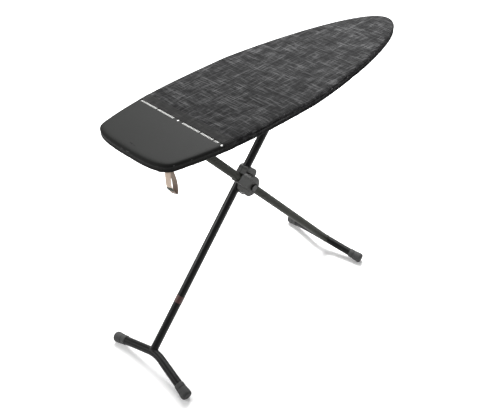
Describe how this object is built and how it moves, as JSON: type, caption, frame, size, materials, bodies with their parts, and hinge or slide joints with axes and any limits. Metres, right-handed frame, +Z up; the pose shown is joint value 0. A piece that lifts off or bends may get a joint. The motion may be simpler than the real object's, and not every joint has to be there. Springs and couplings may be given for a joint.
{
  "type": "folding ironing board",
  "caption": "Folding ironing board with a padded mesh top, tapered nose, heat-resistant tail panel, scissor legs with bowed feet and a webbing hanging loop.",
  "frame": {"origin": "on the floor, under the middle of the whole object's box", "axes": "+X along the board towards the nose, +Y across it, +Z up"},
  "size_m": [1.3922, 0.45, 1.01],
  "materials": {
    "mottled_cloth": "woven slub cloth, matt",
    "heat_cloth": "smooth coated cloth, matt",
    "felt": "needle felt",
    "mesh_steel": "powder coated",
    "frame_paint": "powder coated",
    "track_paint": "satin powder coat",
    "olive_paint": "matt powder coat",
    "black_paint": "satin powder coat",
    "foot_paint": "satin powder coat",
    "cap_rubber": "matt moulded rubber",
    "hub_plastic": "fine textured moulding",
    "black_plastic": "moulded",
    "zinc_steel": "zinc plated",
    "webbing": "woven tape",
    "patch_cloth": "sewn patch",
    "band_film": "plain blank wrap"
  },
  "bodies": {
    "board": {"cover": "mottled_cloth", "heat_panel": "heat_cloth", "felt_pad": "felt", "steel_top": "mesh_steel", "rim_frame": "frame_paint", "tail_rail": "frame_paint", "hinge_rail": "frame_paint", "middle_rail": "frame_paint", "front_rail": "frame_paint", "nose_rail": "frame_paint", "hinge_bracket": "frame_paint", "hinge_pin": "zinc_steel", "hinge_pin_clips": "zinc_steel", "track_left": "track_paint", "track_right": "track_paint", "rack_left": "track_paint", "rack_right": "track_paint", "track_rivets": "zinc_steel", "hanging_loop": "webbing", "loop_patch": "patch_cloth"},
    "tail_leg": {"tail_leg_tube": "olive_paint", "hinge_tube": "olive_paint", "hinge_bushes": "black_plastic", "rear_foot_tube": "foot_paint", "rear_cap_left": "cap_rubber", "rear_cap_right": "cap_rubber", "hub_saddle": "hub_plastic", "pivot_bolt": "zinc_steel", "pivot_nut": "zinc_steel", "pivot_cap": "black_plastic"},
    "sliding_leg": {"sliding_leg_tube": "black_paint", "slider_tube": "black_paint", "slider_axle": "zinc_steel", "glide_left": "black_plastic", "glide_right": "black_plastic", "front_foot_tube": "foot_paint", "front_cap_left": "cap_rubber", "front_cap_right": "cap_rubber", "hub_shell_inner": "hub_plastic", "hub_shell_outer": "hub_plastic", "hub_screws": "zinc_steel", "pivot_bush": "black_plastic", "leg_band": "band_film", "lever_spring": "zinc_steel"},
    "release_lever": {"lever_yoke": "zinc_steel", "lever_handle": "zinc_steel", "lever_grip": "black_plastic"}
  },
  "joints": [
    {"name": "fold", "type": "hinge", "parent": "board", "child": "tail_leg", "pos_m": [-0.45392, 0, 0.965], "axis": [0, -1, 0], "range_deg": [0, 44.23]},
    {"name": "scissor_pivot", "type": "hinge", "parent": "tail_leg", "child": "sliding_leg", "pos_m": [-0.14983, 0, 0.61852], "axis": [0, 1, 0], "range_deg": [0, 88.48]},
    {"name": "lever_squeeze", "type": "hinge", "parent": "sliding_leg", "child": "release_lever", "pos_m": [0.15426, 0, 0.965], "axis": [0, -1, 0], "range_deg": [0, 18], "stiffness_Nm_per_rad": 2, "springref_deg": -8.59}
  ],
  "couplings": [
    {"joint": "scissor_pivot", "follows": "fold", "ratio": 2}
  ]
}
